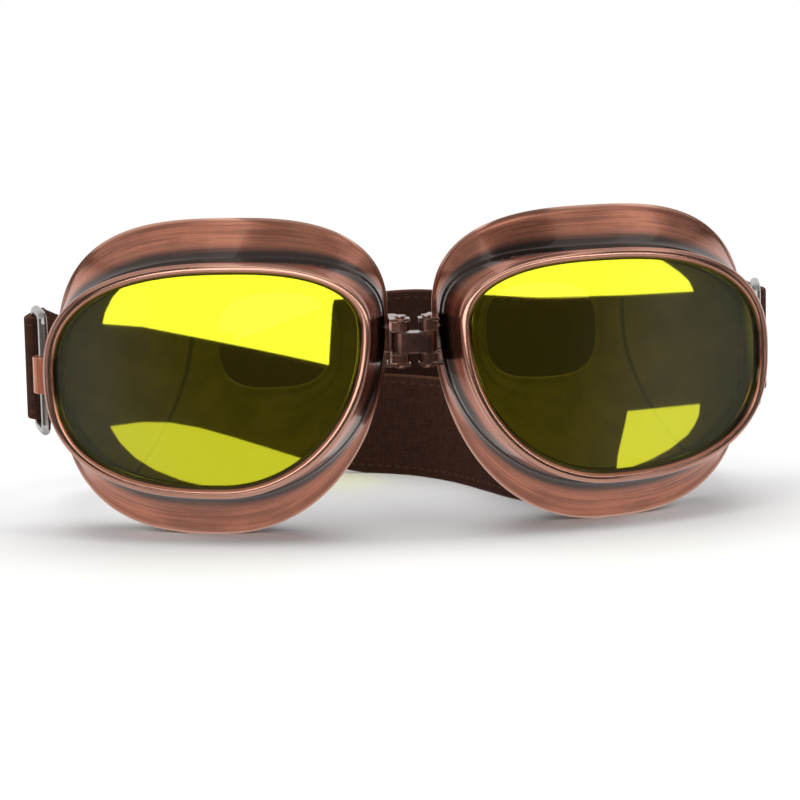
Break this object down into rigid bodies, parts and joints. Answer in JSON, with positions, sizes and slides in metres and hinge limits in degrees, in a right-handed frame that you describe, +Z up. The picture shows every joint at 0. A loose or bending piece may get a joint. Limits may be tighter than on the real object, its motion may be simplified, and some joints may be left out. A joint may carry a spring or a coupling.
{
  "type": "pilot goggles",
  "caption": "Pilot goggles with flared metal cups, bent tinted lenses, a hinged nose link, padded backs, and an elastic strap on wire rings with an adjusting slider.",
  "frame": {"origin": "on the table under the middle of the whole, halfway between the front of the rims and the back of the strap", "axes": "+X to the viewer's right across both eyepieces, +Y from the lenses back to the strap, +Z up off the table"},
  "size_m": [0.1966, 0.098, 0.0823],
  "materials": {
    "frame_copper": "brushed and worn",
    "cup_copper": "brushed with patina in the groove",
    "hardware_copper": "satin, worn edges",
    "rivet_copper": "satin",
    "bright_steel": "polished wire",
    "yellow_lens": "glossy tinted sheet",
    "black_rubber": "matt",
    "brown_board": "covered board",
    "brown_leather": "soft, fine grain",
    "brown_webbing": "ribbed elastic weave"
  },
  "bodies": {
    "bridge": {"nose_link": "hardware_copper", "left_hinge_pin": "rivet_copper", "right_hinge_pin": "rivet_copper", "strap_outer_layer": "brown_webbing", "strap_inner_layer": "brown_webbing", "left_strap_run": "brown_webbing", "right_outer_run": "brown_webbing", "right_inner_run": "brown_webbing"},
    "left_eyepiece": {"left_lens_frame": "frame_copper", "left_eyecup": "cup_copper", "left_lens": "yellow_lens", "left_lens_gasket": "black_rubber", "left_pad_board": "brown_board", "left_face_pad": "brown_leather", "left_hinge_bracket": "hardware_copper", "left_lower_rivet": "rivet_copper", "left_upper_rivet": "rivet_copper", "left_strap_clip": "hardware_copper", "left_clip_backplate": "hardware_copper", "left_clip_rivet": "rivet_copper"},
    "left_ring": {"left_strap_ring": "bright_steel", "left_strap_fold": "brown_webbing"},
    "right_eyepiece": {"right_lens_frame": "frame_copper", "right_eyecup": "cup_copper", "right_lens": "yellow_lens", "right_lens_gasket": "black_rubber", "right_pad_board": "brown_board", "right_face_pad": "brown_leather", "right_hinge_bracket": "hardware_copper", "right_lower_rivet": "rivet_copper", "right_upper_rivet": "rivet_copper", "right_strap_clip": "hardware_copper", "right_clip_backplate": "hardware_copper", "right_clip_rivet": "rivet_copper"},
    "right_ring": {"right_strap_ring": "bright_steel", "right_strap_fold": "brown_webbing"},
    "slider": {"strap_slider": "hardware_copper", "strap_end_loop": "brown_webbing"}
  },
  "joints": [
    {"name": "left_nose_fold", "type": "hinge", "parent": "bridge", "child": "left_eyepiece", "pos_m": [-0.0034, -0.0424, 0.0505], "axis": [0, 0, -1], "range_deg": [-10, 18], "deforming": ["left_strap_run"]},
    {"name": "right_nose_fold", "type": "hinge", "parent": "bridge", "child": "right_eyepiece", "pos_m": [0.0034, -0.0424, 0.0505], "axis": [0, 0, 1], "range_deg": [-10, 18], "deforming": ["right_outer_run", "right_inner_run"]},
    {"name": "left_ring_swing", "type": "hinge", "parent": "left_eyepiece", "child": "left_ring", "pos_m": [-0.0936, -0.01129, 0.0402], "axis": [0, 0, -1], "range_deg": [-45, 15], "deforming": ["left_strap_run"]},
    {"name": "right_ring_swing", "type": "hinge", "parent": "right_eyepiece", "child": "right_ring", "pos_m": [0.0936, -0.01129, 0.0402], "axis": [0, 0, 1], "range_deg": [-45, 15], "deforming": ["right_outer_run", "right_inner_run"]},
    {"name": "slider_shift", "type": "slide", "parent": "bridge", "child": "slider", "axis": [0.995, 0.1004, 0], "range_m": [-0.005, 0.005], "deforming": ["left_strap_run", "strap_end_loop"]}
  ]
}
